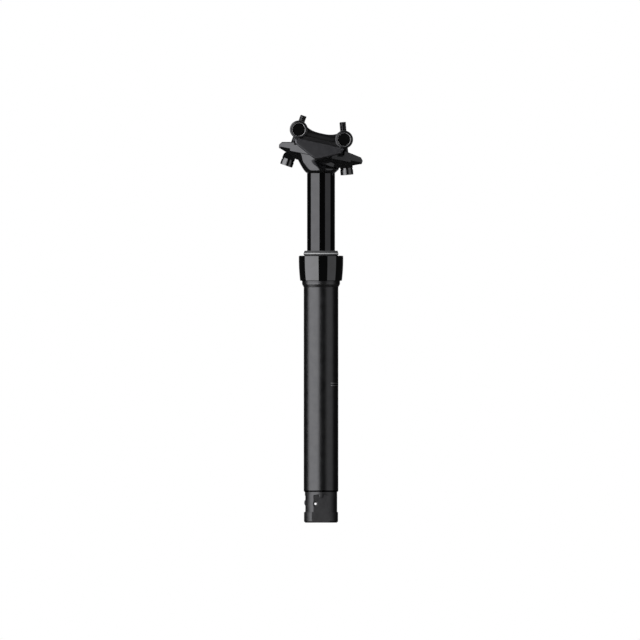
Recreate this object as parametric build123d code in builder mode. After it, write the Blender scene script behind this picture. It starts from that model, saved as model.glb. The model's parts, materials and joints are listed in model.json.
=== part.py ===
from build123d import *
import os
from math import cos, radians, sin, tan

# Dropper seatpost, in millimetres. +Z runs up the tubes, +X is the front of the bicycle.
# The origin is on the tube axis, at the top of the straight clamping length.
# The post stands fully extended, with the saddle clamp at its usual tilt.

# Fits
slide_gap = 0.08  # radial play of plain bearings and seals
pivot_gap = 0.08  # radial play of hinge pins and barrels
thread_gap = 0.05  # radial play in threads and pressed seats of one body
part_gap = 0.3  # air between neighbours that move past each other
overrun = 1.0  # how far cuts run past the faces they open

# Upper tube
post_wall = 1.4
post_bore_r = 9.6
post_r = post_bore_r + post_wall
post_low_z = -75.0
post_top_z = 89.5

# Lower tube
bushing_wall = 1.1
tube_bore_r = post_r + bushing_wall
tube_wall = 1.5
tube_r = tube_bore_r + tube_wall
tube_end_z = -160.5
tube_end_chamfer = 0.9
flange_step = 1.3
flange_r = tube_r + flange_step
flange_taper_h = 2.4
flange_top_z = 5.0
neck_step = 0.8
neck_r = tube_r + neck_step
neck_top_z = 17.0
bushing_seat_step = 0.35
bushing_seat_r = tube_bore_r + bushing_seat_step
bushing_low_z = -11.0

# Keyways and guide keys
key_count = 3
key_w = 2.8
key_depth = 0.6
key_length = 14.0
key_low_z = -56.0
key_side_gap = 0.1
keyway_low_z = -152.0
keyway_top_z = -24.0

# Seal collar
collar_top_z = 24.8
collar_top_wall = 3.1
collar_top_r = neck_r + collar_top_wall
collar_mid_wall = 2.82
collar_mid_r = neck_r + collar_mid_wall
collar_low_wall = 2.1
collar_low_r = neck_r + collar_low_wall
collar_edge = 0.35
collar_lip_h = 2.2
collar_mid_share = 0.4

# Wiper seal and its ring
wiper_top_z = 28.7
wiper_lip_wall = 1.9
wiper_lip_r = post_r + wiper_lip_wall
wiper_shoulder_wall = 2.6
wiper_shoulder_r = post_r + wiper_shoulder_wall
wiper_neck_wall = 2.15
wiper_neck_r = post_r + wiper_neck_wall
wiper_relief_depth = 1.1
wiper_relief_r = post_r + wiper_relief_depth
collar_lip_air = 0.2
collar_lip_r = wiper_neck_r + collar_lip_air
wiper_lip_h = 0.9
wiper_low_lip_z = 19.2
ring_z = 26.5
ring_h = 0.8
ring_proud = 0.2
ring_r = wiper_shoulder_r + ring_proud
ring_wall = 0.8
ring_seat_r = ring_r - ring_wall

# Bushings
bushing_top_gap = 0.5
bushing_slit = 0.6
low_bushing_h = 15.0
clip_groove_r = 10.5
clip_r = 11.8
clip_h = 1.0
clip_edge = 1.2
clip_slit = 5.0

# Gas cartridge
cartridge_r = 9.5
cartridge_bore_r = 8.3
cartridge_low_z = -70.0
cartridge_top_z = 62.0
cap_plug_h = 9.0
cap_flange_h = 5.5
gland_h = 12.0
gland_groove_h = 2.2
gland_groove_r = 5.6
bumper_h = 4.0
bumper_r = 7.6
rod_r = 4.0
rod_bore_r = 1.8
rod_top_z = -43.6
rod_low_z = -161.0
piston_h = 8.0
piston_groove_h = 2.4
piston_groove_r = 6.6
seal_wire_r = 0.9
inner_clip_h = 1.2
inner_clip_depth = 0.7
inner_clip_w = 1.6
float_low_z = 14.0
float_h = 10.0
float_cup_r = 5.6
float_cup_depth = 6.0

# Actuator housing
foot_inset = 0.23
housing_foot_r = tube_r - foot_inset
foot_step = 0.67
housing_r = housing_foot_r - foot_step
housing_foot_top_z = -176.5
housing_low_z = -184.8
housing_edge = 1.0
spigot_h = 9.5
flat_cut = 2.22
flat_y = housing_foot_r - flat_cut
flat_top_z = -162.6
flat_arch = 1.6
tongue_w = 2.6
tongue_h = 4.4
chamber_top_z = -161.0
chamber_low_z = -177.6
chamber_front_x = 4.6
window_top_z = -163.6
window_low_z = -176.2
rear_wall = 2.0
nut_width = 13.0
nut_h = 5.0

# Actuator lever
lever_arm = 5.25
pivot_z = -170.0
pivot_r = 1.5
pivot_hole_r = 0.9
pivot_sink = 0.45
pivot_length = 2 * (flat_y - pivot_sink)
pivot_sink_r = 1.9
lever_w = 5.6
hub_r = 3.1
eye_inset = 3.77
eye_x = eye_inset - housing_foot_r
pivot_x = eye_x + lever_arm
eye_z = -169.1
eye_r = 3.6
eye_bore_r = 2.2
eye_slot_w = 3.4
nose_x = 0.2
nose_z = -168.2
nose_r = 1.6
anchor_cable_r = 0.7
grub_r = 1.5
grub_tip_x = -13.0
grub_hex = 1.5
grub_hex_depth = 1.3

# Push pin and its spring
pin_r = 1.64
pin_head_r = 3.0
pin_head_h = 1.4
pin_top_z = -52.0
pin_low_z = -166.45
spring_r = 2.55
spring_wire_r = 0.25
spring_turns = 3

# Cable stop
stop_step = 0.6
stop_x = eye_x + stop_step
stop_r = 3.3
stop_h = 6.0
stop_seat_r = 2.55
stop_seat_h = 5.0
stop_bore_r = 1.0

# Saddle clamp: its side-view frame sits midway between the nuts
clamp_x = 0.3
clamp_z = 119.9
clamp_tilt = 12.5
nut_spacing = 36.4
boss_r = 7.1
boss_bore_r = 5.0
boss_edge = 1.2
beam_inset = 0.3
split_z = -7.05
split_gap = 0.4
rail_r = 3.5
rail_y = 22.0
rail_z = -9.4
rail_cover = 1.7
clamp_w = 2 * (rail_y + rail_r + rail_cover)
saddle_inset = 5.4
saddle_inner_y = rail_y - saddle_inset
bridge_top_z = 0.9
bridge_rise_x = 7.6
bridge_rise_z = 1.55
bridge_run = 5.0
bridge_end_x = nut_spacing / 2 - bridge_run
bridge_end_z = 4.2
band_h = 3.4
hollow_r = 5.6
hollow_offset = 1.2
hollow_depth = 4.2
window_inset = 7.0
beam_half_x = nut_spacing / 2 - window_inset
bolt_slot_l = 8.2
bolt_slot_w = 6.0

# Lower cradle
cradle_reach = 1.8
cradle_half_x = nut_spacing / 2 + cradle_reach
end_slant = 1.7
cradle_foot_x = cradle_half_x - end_slant
cradle_foot_z = -11.5
wedge_angle = 26.3
wedge_tip_r = 8.0
seat_r = 17.0
block_inset = 3.0
block_half_x = nut_spacing / 2 - block_inset
pad_half_x = beam_half_x - 2 * part_gap
pad_top_z = -5.8
wing_inset = 6.6
wing_inner_y = rail_y - wing_inset
wing_edge = 0.8
cradle_inset = 0.2
cradle_w = clamp_w - 2 * cradle_inset
pocket_half_x = 8.0
pocket_half_y = 8.0
pocket_corner_r = 2.5
pocket_depth = 5.0

# Barrel nuts
nut_r = 4.9
nut_length = 16.0
nut_bore_r = 2.8
nut_face_edge = 0.5

# Clamp bolts and their barrel washers
bolt_r = 2.5
bolt_head_r = 4.9
bolt_head_h = 5.1
bolt_length = 36.1
bolt_tip_edge = 0.5
bolt_head_edge = 0.5
bolt_hex = 4.0
bolt_hex_depth = 3.0
rear_bolt_lean = 19.3
front_bolt_lean = -4.8
rear_washer_reach = 23.3
front_washer_reach = 21.1
washer_r = 5.0
washer_slab_h = 1.25
washer_w = 10.0
washer_hole_r = 2.6
ear_hole_r = 3.4

# Head
head_x = -0.33
head_z = 104.3
head_tilt = 11.1
spigot_length = 22.0
ear_overhang = 15.3
ear_reach = nut_spacing / 2 + ear_overhang
ear_droop = 11.1
ear_slant = 1.9
ear_corner_x = ear_reach - ear_slant
ear_corner_z = 3.8
ear_end_z = 1.4
ear_undercut = 0.4
ear_toe_x = ear_reach - ear_undercut
ear_toe_z = -1.5
ear_side_low_z = -2.2
ear_end_w = 10.6
head_w = 26.0
ear_taper_run = 24.5
head_flat_x = ear_reach - ear_taper_run
keel_w = 16.4
keel_heel_run = 6.1
keel_heel_x = ear_toe_x - keel_heel_run
keel_heel_z = -3.5
keel_root_z = -7.6
neck_half_x = 21.6
keel_root_inset = 3.4
keel_root_x = neck_half_x - keel_root_inset
neck_half_y = 12.7
neck_low_r = 13.8
neck_low_z = 92.3
neck_mid_x = 16.2
neck_mid_z = -8.2
neck_top_z_share = 0.2
shelf_z = -12.4
shelf_front_air = 1.0
shelf_front_x = cradle_half_x + shelf_front_air
shelf_rear_lap = 0.6
shelf_rear_x = cradle_half_x - shelf_rear_lap
spigot_bore_r = 6.2
spigot_bore_depth = 16.0
spigot_edge = 0.6
ear_edge = 0.9

os.makedirs("parts", exist_ok=True)


def side_plane(x, z, tilt):
    """Side-view plane at (x, z): its x runs forward and down by the tilt, its y up, its normal to -Y."""
    lean = radians(tilt)
    return Plane(origin=(x, 0, z), x_dir=(cos(lean), 0, -sin(lean)), z_dir=(0, -1, 0))


def section(inner_r, outer_r, low_z, high_z):
    """Half section of a ring in the XZ plane, to be revolved about Z."""
    with Locations(((inner_r + outer_r) / 2, (low_z + high_z) / 2)):
        Rectangle(outer_r - inner_r, high_z - low_z)


def export(piece, name):
    """Label a finished piece and write its file."""
    piece.part.label = name
    export_step(piece.part, f"parts/{name}.step")


def bolt_plane(side, lean):
    """Plane square to a clamp bolt at its nut's centre; side is -1 for the rear nut and 1 for the front."""
    nut = clamp_side.from_local_coords((side * nut_spacing / 2, 0, 0))
    tilt = radians(lean)
    return Plane(origin=nut, x_dir=(cos(tilt), 0, -sin(tilt)), z_dir=(sin(tilt), 0, cos(tilt)))


def barrel_side(frame):
    """Side-view plane of a bolt plane: its x is the same, its y runs up the bolt."""
    return Plane(origin=frame.origin, x_dir=frame.x_dir, z_dir=-frame.y_dir)


clamp_side = side_plane(clamp_x, clamp_z, clamp_tilt)
clamp_end = Plane(origin=clamp_side.origin, x_dir=(0, 1, 0), z_dir=clamp_side.x_dir)
clamp_plan = Plane(origin=clamp_side.origin, x_dir=clamp_side.x_dir, z_dir=clamp_side.y_dir)
head_side = side_plane(head_x, head_z, head_tilt)
rear_bolt_frame = bolt_plane(-1, rear_bolt_lean)
front_bolt_frame = bolt_plane(1, front_bolt_lean)
clamp_bolts = ((rear_bolt_frame, rear_washer_reach), (front_bolt_frame, front_washer_reach))

# Lower tube: clamping length, flange for the collar, threaded neck, keyways
with BuildPart() as outer_tube:
    with BuildSketch(Plane.XZ):
        with BuildLine():
            Polyline(
                (tube_bore_r, tube_end_z),
                (tube_r - tube_end_chamfer / 3, tube_end_z),
                (tube_r, tube_end_z + tube_end_chamfer),
                (tube_r, 0),
                (flange_r, flange_taper_h),
                (flange_r, flange_top_z),
                (neck_r, flange_top_z),
                (neck_r, neck_top_z),
                (bushing_seat_r, neck_top_z),
                (bushing_seat_r, bushing_low_z),
                (tube_bore_r, bushing_low_z),
                close=True,
            )
        make_face()
    revolve()
    with BuildSketch(Plane.XY.offset(keyway_low_z)):
        with PolarLocations(tube_bore_r, key_count):
            Rectangle(2 * key_depth, key_w + 2 * key_side_gap)
    extrude(amount=keyway_top_z - keyway_low_z, mode=Mode.SUBTRACT)
export(outer_tube, "outer_tube")

# Seal collar: barrel-shaped nut over the threaded neck, with a lip that holds the wiper down
wiper_body_r = neck_r - thread_gap
with BuildPart() as seal_collar:
    collar_mid_z = flange_top_z + collar_mid_share * (collar_top_z - flange_top_z)
    with BuildSketch(Plane.XZ):
        with BuildLine():
            low_edge = (collar_low_r, flange_top_z + collar_edge)
            high_edge = (collar_top_r, collar_top_z - collar_edge)
            ThreePointArc(low_edge, (collar_mid_r, collar_mid_z), high_edge)
            Polyline(
                high_edge,
                (collar_top_r - collar_edge, collar_top_z),
                (collar_lip_r, collar_top_z),
                (collar_lip_r, collar_top_z - collar_lip_h),
                (neck_r + thread_gap, collar_top_z - collar_lip_h),
                (neck_r + thread_gap, flange_top_z),
                (collar_low_r - collar_edge, flange_top_z),
                low_edge,
            )
        make_face()
    revolve()
export(seal_collar, "seal_collar")

# Wiper seal: two lips on the upper tube, a foot under the collar's lip, a groove for the pale ring
with BuildPart() as wiper_seal:
    touch_r = post_r + slide_gap
    with BuildSketch(Plane.XZ):
        with BuildLine():
            Polyline(
                (wiper_relief_r, neck_top_z),
                (wiper_body_r, neck_top_z),
                (wiper_body_r, collar_top_z - collar_lip_h),
                (wiper_neck_r, collar_top_z - collar_lip_h),
                (wiper_neck_r, collar_top_z + wiper_lip_h / 3),
                (wiper_shoulder_r, collar_top_z + wiper_lip_h / 2),
                (wiper_shoulder_r, ring_z - ring_h / 2),
                (ring_seat_r, ring_z - ring_h / 2),
                (ring_seat_r, ring_z + ring_h / 2),
                (wiper_shoulder_r, ring_z + ring_h / 2),
                (wiper_lip_r, wiper_top_z),
                (touch_r, wiper_top_z),
                (touch_r, wiper_top_z - wiper_lip_h),
                (wiper_relief_r, ring_z - ring_h),
                (wiper_relief_r, wiper_low_lip_z + wiper_lip_h),
                (touch_r, wiper_low_lip_z),
                (touch_r, wiper_low_lip_z - wiper_lip_h),
                close=True,
            )
        make_face()
    revolve()
export(wiper_seal, "wiper_seal")

# Pale ring snapped into the wiper's groove
with BuildPart() as wiper_ring:
    with BuildSketch(Plane.XZ):
        section(ring_seat_r, ring_r, ring_z - ring_h / 2, ring_z + ring_h / 2)
    revolve()
    chamfer(wiper_ring.edges().filter_by(GeomType.CIRCLE).group_by(SortBy.RADIUS)[-1], ring_h / 5)
export(wiper_ring, "wiper_ring")

# Upper bushing: a split sleeve that stands on the tube's step
with BuildPart() as upper_bushing:
    with BuildSketch(Plane.XZ):
        section(post_r + slide_gap, bushing_seat_r, bushing_low_z, neck_top_z - bushing_top_gap)
    revolve()
    with BuildSketch(Plane.XY.offset(bushing_low_z)):
        with Locations((-bushing_seat_r, 0)):
            Rectangle(2 * (bushing_seat_r - post_r), bushing_slit)
    extrude(amount=neck_top_z - bushing_low_z, mode=Mode.SUBTRACT)
export(upper_bushing, "upper_bushing")

# Upper tube with pockets for the keys and grooves for the two clips
inner_clip_top_z = cartridge_low_z
with BuildPart() as stanchion:
    with BuildSketch(Plane.XZ):
        section(post_bore_r, post_r, post_low_z, post_top_z)
    revolve()
    with BuildSketch(Plane.XZ):
        section(clip_groove_r, post_r + overrun, post_low_z + clip_edge, post_low_z + clip_edge + clip_h)
        section(
            post_bore_r - overrun,
            post_bore_r + inner_clip_depth,
            inner_clip_top_z - inner_clip_h,
            inner_clip_top_z,
        )
    revolve(mode=Mode.SUBTRACT)
    with BuildSketch(Plane.XY.offset(key_low_z)):
        with PolarLocations(post_r, key_count):
            Rectangle(2 * key_depth, key_w)
    extrude(amount=key_length, mode=Mode.SUBTRACT)
export(stanchion, "stanchion")

# Guide keys: brass bars in the upper tube's pockets that run in the lower tube's keyways
with BuildPart() as guide_keys:
    key_low_r = post_r - key_depth
    key_high_r = tube_bore_r + key_depth - key_side_gap
    with BuildSketch(Plane.XY.offset(key_low_z)):
        with PolarLocations((key_low_r + key_high_r) / 2, key_count):
            Rectangle(key_high_r - key_low_r, key_w)
    extrude(amount=key_length)
export(guide_keys, "guide_keys")

# Lower bushing: a split sleeve on the upper tube, held by a clip below it
clip_top_z = post_low_z + clip_edge + clip_h
with BuildPart() as lower_bushing:
    with BuildSketch(Plane.XZ):
        section(post_r, tube_bore_r - slide_gap, clip_top_z, clip_top_z + low_bushing_h)
    revolve()
    with BuildSketch(Plane.XY.offset(clip_top_z)):
        with Locations((-tube_bore_r, 0)):
            Rectangle(2 * (tube_bore_r - post_r) + bushing_slit, bushing_slit)
    extrude(amount=low_bushing_h, mode=Mode.SUBTRACT)
export(lower_bushing, "lower_bushing")

with BuildPart() as bushing_clip:
    with BuildSketch(Plane.XZ):
        section(clip_groove_r, clip_r, clip_top_z - clip_h, clip_top_z)
    revolve()
    with BuildSketch(Plane.XY.offset(clip_top_z)):
        with Locations((clip_r, 0)):
            Rectangle(2 * (clip_r - clip_groove_r) + clip_h, clip_slit)
    extrude(amount=-clip_h, mode=Mode.SUBTRACT)
export(bushing_clip, "bushing_clip")

# Gas cartridge: tube, cap, gland and clip ride with the upper tube
with BuildPart() as cartridge_tube:
    with BuildSketch(Plane.XZ):
        section(cartridge_bore_r, cartridge_r, cartridge_low_z, cartridge_top_z)
    revolve()
export(cartridge_tube, "cartridge_tube")

with BuildPart() as cartridge_cap:
    with BuildSketch(Plane.XZ):
        section(0, cartridge_bore_r, cartridge_top_z - cap_plug_h, cartridge_top_z)
        section(0, cartridge_r, cartridge_top_z, cartridge_top_z + cap_flange_h)
    revolve()
    with BuildSketch(Plane.XZ):
        groove_mid_z = cartridge_top_z - cap_plug_h / 2
        section(
            cartridge_bore_r - seal_wire_r,
            cartridge_bore_r + overrun,
            groove_mid_z - seal_wire_r,
            groove_mid_z + seal_wire_r,
        )
    revolve(mode=Mode.SUBTRACT)
export(cartridge_cap, "cartridge_cap")

with BuildPart() as cap_seal:
    with BuildSketch(Plane.XZ):
        with Locations((cartridge_bore_r - seal_wire_r / 2, groove_mid_z)):
            Rectangle(seal_wire_r, 2 * seal_wire_r)
    revolve()
    chamfer(cap_seal.edges().filter_by(GeomType.CIRCLE), seal_wire_r / 4)
export(cap_seal, "cap_seal")

gland_top_z = cartridge_low_z + gland_h
with BuildPart() as cartridge_gland:
    with BuildSketch(Plane.XZ):
        section(rod_r + slide_gap, cartridge_bore_r, cartridge_low_z, gland_top_z)
    revolve()
    with BuildSketch(Plane.XZ):
        seal_mid_z = gland_top_z - gland_groove_h
        section(
            rod_r - overrun,
            gland_groove_r,
            seal_mid_z - gland_groove_h / 2,
            seal_mid_z + gland_groove_h / 2,
        )
    revolve(mode=Mode.SUBTRACT)
export(cartridge_gland, "cartridge_gland")

with BuildPart() as rod_seal:
    with BuildSketch(Plane.XZ):
        section(
            rod_r + slide_gap,
            gland_groove_r,
            seal_mid_z - gland_groove_h / 2,
            seal_mid_z + gland_groove_h / 2,
        )
    revolve()
export(rod_seal, "rod_seal")

with BuildPart() as top_out_bumper:
    with BuildSketch(Plane.XZ):
        section(rod_r + part_gap, bumper_r, gland_top_z, gland_top_z + bumper_h)
    revolve()
    chamfer(top_out_bumper.edges().group_by(Axis.Z)[-1], bumper_h / 8)
export(top_out_bumper, "top_out_bumper")

with BuildPart() as cartridge_clip:
    with BuildSketch(Plane.XZ):
        section(
            post_bore_r - inner_clip_w,
            post_bore_r + inner_clip_depth,
            inner_clip_top_z - inner_clip_h,
            inner_clip_top_z,
        )
    revolve()
    with BuildSketch(Plane.XY.offset(inner_clip_top_z)):
        with Locations((post_bore_r, 0)):
            Rectangle(2 * (inner_clip_w + inner_clip_depth), clip_slit)
    extrude(amount=-inner_clip_h, mode=Mode.SUBTRACT)
export(cartridge_clip, "cartridge_clip")

# Floating piston between oil and gas
with BuildPart() as floating_piston:
    float_r = cartridge_bore_r - slide_gap
    float_top_z = float_low_z + float_h
    with BuildSketch(Plane.XZ):
        section(0, float_r, float_low_z, float_top_z)
    revolve()
    with BuildSketch(Plane.XY.offset(float_top_z)):
        Circle(float_cup_r)
    extrude(amount=-float_cup_depth, mode=Mode.SUBTRACT)
export(floating_piston, "floating_piston")

# Rod, piston and nut stand still on the housing
piston_low_z = gland_top_z + bumper_h + part_gap
with BuildPart() as cartridge_rod:
    with BuildSketch(Plane.XZ):
        section(rod_bore_r, rod_r, rod_low_z, rod_top_z)
    revolve()
export(cartridge_rod, "cartridge_rod")

with BuildPart() as piston:
    with BuildSketch(Plane.XZ):
        section(rod_r, cartridge_bore_r - slide_gap, piston_low_z, piston_low_z + piston_h)
    revolve()
    with BuildSketch(Plane.XZ):
        piston_mid_z = piston_low_z + piston_h / 2
        section(
            piston_groove_r,
            cartridge_bore_r + overrun,
            piston_mid_z - piston_groove_h / 2,
            piston_mid_z + piston_groove_h / 2,
        )
    revolve(mode=Mode.SUBTRACT)
export(piston, "piston")

with BuildPart() as piston_seal:
    with BuildSketch(Plane.XZ):
        section(
            piston_groove_r,
            cartridge_bore_r - slide_gap,
            piston_mid_z - piston_groove_h / 2,
            piston_mid_z + piston_groove_h / 2,
        )
    revolve()
    chamfer(piston_seal.edges().filter_by(GeomType.CIRCLE), seal_wire_r / 4)
export(piston_seal, "piston_seal")

# Actuator housing: screwed into the lower tube's foot, flats on both sides, a chamber for the lever
flat_half_x = (housing_foot_r**2 - flat_y**2) ** 0.5 + overrun
rear_wall_x = -(housing_r - rear_wall)
chamber_w = lever_w + 2 * part_gap
with BuildPart() as actuator_housing:
    with BuildSketch(Plane.XZ):
        section(0, tube_bore_r - thread_gap, tube_end_z, tube_end_z + spigot_h)
        section(0, housing_r, housing_foot_top_z, tube_end_z)
        section(0, housing_foot_r, housing_low_z, housing_foot_top_z)
    revolve()
    chamfer(actuator_housing.edges().group_by(Axis.Z)[0], housing_edge)
    for side in (-1, 1):
        with BuildSketch(Plane.XZ.offset(side * flat_y)):
            with BuildLine():
                arch_foot_z = flat_top_z - flat_arch
                ThreePointArc((-flat_half_x, arch_foot_z), (0, flat_top_z), (flat_half_x, arch_foot_z))
                Polyline(
                    (flat_half_x, arch_foot_z),
                    (flat_half_x, housing_low_z - overrun),
                    (-flat_half_x, housing_low_z - overrun),
                    (-flat_half_x, arch_foot_z),
                )
            make_face()
            with Locations((0, tube_end_z - tongue_h / 2)):
                Rectangle(tongue_w, tongue_h, mode=Mode.SUBTRACT)
        extrude(amount=side * (housing_foot_r - flat_y + overrun), mode=Mode.SUBTRACT)
    with BuildSketch(Plane.XZ):
        section(rear_wall_x, chamber_front_x, chamber_low_z, chamber_top_z)
        section(-housing_foot_r - overrun, rear_wall_x, window_low_z, window_top_z)
    extrude(amount=chamber_w / 2, both=True, mode=Mode.SUBTRACT)
    with BuildSketch(Plane.XY.offset(chamber_top_z)):
        Circle(rod_r + thread_gap)
    extrude(amount=tube_end_z + spigot_h - chamber_top_z, mode=Mode.SUBTRACT)
    with BuildSketch(Plane.XZ):
        with Locations((pivot_x, pivot_z)):
            Circle(pivot_r)
    extrude(amount=housing_r, both=True, mode=Mode.SUBTRACT)
    for side in (-1, 1):
        with BuildSketch(Plane.XZ.offset(side * pivot_length / 2)):
            with Locations((pivot_x, pivot_z)):
                Circle(pivot_sink_r)
        extrude(amount=side * (housing_r - pivot_length / 2), mode=Mode.SUBTRACT)
    with BuildSketch(Plane.XY.offset(housing_low_z)):
        with Locations((stop_x, 0)):
            Circle(stop_r + thread_gap)
    extrude(amount=stop_h, mode=Mode.SUBTRACT)
    with BuildSketch(Plane.XY.offset(housing_low_z)):
        with Locations((stop_x, 0)):
            Circle(stop_bore_r)
    extrude(amount=chamber_low_z - housing_low_z, mode=Mode.SUBTRACT)
export(actuator_housing, "actuator_housing")

# Nut that clamps the rod to the housing's roof
with BuildPart() as rod_nut:
    with BuildSketch(Plane.XY.offset(tube_end_z + spigot_h)):
        RegularPolygon(nut_width / 2, 6, major_radius=False)
        Circle(rod_r + thread_gap, mode=Mode.SUBTRACT)
    extrude(amount=nut_h)
export(rod_nut, "rod_nut")

# Hollow spring pin through both walls: the lever's pivot
with BuildPart() as lever_pivot_pin:
    with BuildSketch(Plane.XZ):
        with Locations((pivot_x, pivot_z)):
            Circle(pivot_r)
            Circle(pivot_hole_r, mode=Mode.SUBTRACT)
    extrude(amount=pivot_length / 2, both=True)
export(lever_pivot_pin, "lever_pivot_pin")

# Lever: a rear arm to the cable eye and a front arm to the nose that lifts the push pin
eye_place = (eye_x, eye_z, eye_r)
hub_place = (pivot_x, pivot_z, hub_r)
nose_place = (nose_x, nose_z, nose_r)
with BuildPart() as actuator_lever:
    for arm in ((eye_place, hub_place), (hub_place, nose_place)):
        with BuildSketch(Plane.XZ) as arm_outline:
            for x, z, r in arm:
                with Locations((x, z)):
                    Circle(r)
            make_hull(arm_outline.sketch_local.edges())
        extrude(amount=lever_w / 2, both=True)
    with BuildSketch(Plane.XZ):
        with Locations((eye_x, eye_z)):
            Circle(eye_bore_r)
        with Locations((pivot_x, pivot_z)):
            Circle(pivot_r + pivot_gap)
    extrude(amount=lever_w / 2, both=True, mode=Mode.SUBTRACT)
    with BuildSketch(Plane.XZ):
        section(eye_x - eye_r - overrun, eye_x, eye_z - eye_r - overrun, eye_z + eye_r + overrun)
    extrude(amount=eye_slot_w / 2, both=True, mode=Mode.SUBTRACT)
export(actuator_lever, "actuator_lever")

# Cable anchor: a barrel in the lever's eye, cross-drilled for the inner cable
with BuildPart() as cable_anchor:
    with BuildSketch(Plane.XZ):
        with Locations((eye_x, eye_z)):
            Circle(eye_bore_r - pivot_gap)
    extrude(amount=lever_w / 2, both=True)
    with BuildSketch(Plane.XY.offset(eye_z - eye_r)):
        with Locations((eye_x, 0)):
            Circle(anchor_cable_r)
    extrude(amount=2 * eye_r, mode=Mode.SUBTRACT)
    with BuildSketch(Plane.YZ.offset(eye_x)):
        with Locations((0, eye_z)):
            Circle(grub_r)
    extrude(amount=-eye_r, mode=Mode.SUBTRACT)
export(cable_anchor, "cable_anchor")

with BuildPart() as anchor_screw:
    with BuildSketch(Plane.YZ.offset(grub_tip_x)):
        with Locations((0, eye_z)):
            Circle(grub_r)
    extrude(amount=eye_x - anchor_cable_r - grub_tip_x)
    with BuildSketch(Plane.YZ.offset(grub_tip_x)):
        with Locations((0, eye_z)):
            RegularPolygon(grub_hex / 2, 6, major_radius=False)
    extrude(amount=grub_hex_depth, mode=Mode.SUBTRACT)
export(anchor_screw, "anchor_screw")

# Push pin inside the hollow rod, with its return spring under the rod's end
with BuildPart() as push_pin:
    with BuildSketch(Plane.XZ):
        section(0, pin_head_r, pin_low_z, pin_low_z + pin_head_h)
        section(0, pin_r, pin_low_z, pin_top_z)
    revolve()
    chamfer(push_pin.edges().group_by(Axis.Z)[-1], pin_r / 3)
export(push_pin, "push_pin")

spring_low_z = pin_low_z + pin_head_h + spring_wire_r
spring_h = rod_low_z - spring_wire_r - spring_low_z
with BuildPart() as return_spring:
    with BuildLine():
        coil = Helix(spring_h / spring_turns, spring_h, spring_r, center=(0, 0, spring_low_z))
    with BuildSketch(Plane(origin=coil @ 0, z_dir=coil % 0)):
        RegularPolygon(spring_wire_r, 6)
    sweep(is_frenet=True)
export(return_spring, "return_spring")

# Stop for the cable's outer casing
with BuildPart() as cable_stop:
    with BuildSketch(Plane.XY.offset(housing_low_z)):
        with Locations((stop_x, 0)):
            Circle(stop_r)
    extrude(amount=stop_h)
    with BuildSketch(Plane.XY.offset(housing_low_z)):
        with Locations((stop_x, 0)):
            Circle(stop_seat_r)
    extrude(amount=stop_seat_h, mode=Mode.SUBTRACT)
    with BuildSketch(Plane.XY.offset(housing_low_z)):
        with Locations((stop_x, 0)):
            Circle(stop_bore_r)
    extrude(amount=stop_h, mode=Mode.SUBTRACT)
export(cable_stop, "cable_stop")

# Head: ears, keel and neck in the head's own tilted frame
head_plan = Plane(origin=head_side.origin, x_dir=head_side.x_dir, z_dir=head_side.y_dir)
ridge_z = ear_corner_z + ear_corner_x * tan(radians(ear_droop))
with BuildPart() as post_head:
    with BuildSketch(head_side):
        with BuildLine():
            Polyline(
                (0, ridge_z),
                (ear_corner_x, ear_corner_z),
                (ear_reach, ear_end_z),
                (ear_toe_x, ear_toe_z),
                (keel_heel_x, ear_side_low_z),
                (0, ear_side_low_z),
                close=True,
            )
        make_face()
        mirror(about=Plane.YZ)
    extrude(amount=head_w / 2, both=True)
    with BuildSketch(head_plan):
        with BuildLine():
            Polyline(
                (0, head_w / 2),
                (head_flat_x, head_w / 2),
                (ear_reach, ear_end_w / 2),
                (ear_reach, 0),
                (0, 0),
                close=True,
            )
        make_face()
        mirror(about=Plane.YZ)
        mirror(about=Plane.XZ)
    extrude(amount=ear_reach, both=True, mode=Mode.INTERSECT)
    fillet(post_head.edges(), ear_edge)
    with BuildSketch(head_side):
        with BuildLine():
            Polyline(
                (0, 0),
                (ear_toe_x - ear_edge, 0),
                (ear_toe_x - ear_edge, ear_toe_z),
                (keel_heel_x, keel_heel_z),
                (keel_root_x, keel_root_z),
                (0, keel_root_z),
                close=True,
            )
        make_face()
        mirror(about=Plane.YZ)
    extrude(amount=keel_w / 2, both=True)
    with BuildSketch(Plane.XY.offset(post_top_z)):
        Circle(post_r)
    with BuildSketch(Plane.XY.offset(neck_low_z)):
        Circle(neck_low_r)
    with BuildSketch(head_plan.offset(neck_mid_z)):
        Ellipse(neck_mid_x, neck_half_y)
    with BuildSketch(head_plan.offset(neck_top_z_share * keel_root_z)):
        Ellipse(neck_half_x, neck_half_y)
    loft()
    with BuildSketch(Plane.XY.offset(post_top_z)):
        Circle(post_bore_r)
    extrude(amount=-spigot_length)
    chamfer(post_head.edges().group_by(Axis.Z)[0], spigot_edge)
    with BuildSketch(Plane.XY.offset(post_top_z - spigot_length)):
        Circle(spigot_bore_r)
    extrude(amount=spigot_bore_depth, mode=Mode.SUBTRACT)
    # seat for the cradle, the shelf beside it, and the bolts' holes, grooves and head room
    with BuildSketch(clamp_side):
        Circle(seat_r + pivot_gap)
        with Locations(((shelf_front_x - shelf_rear_x) / 2, shelf_z + seat_r / 2)):
            Rectangle(shelf_front_x + shelf_rear_x, seat_r)
    extrude(amount=head_w, both=True, mode=Mode.SUBTRACT)
    for bolt_frame, reach in clamp_bolts:
        washer_top = bolt_frame.offset(-reach)
        with BuildSketch(washer_top):
            Circle(ear_hole_r)
        extrude(amount=reach, mode=Mode.SUBTRACT)
        with BuildSketch(barrel_side(washer_top)):
            Circle(washer_r + pivot_gap)
        extrude(amount=washer_w / 2 + part_gap, both=True, mode=Mode.SUBTRACT)
        with BuildSketch(washer_top):
            Rectangle(2 * (washer_r + part_gap), washer_w + 2 * part_gap)
        extrude(amount=-bolt_head_h - washer_slab_h - overrun, mode=Mode.SUBTRACT)
export(post_head, "post_head")

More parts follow.
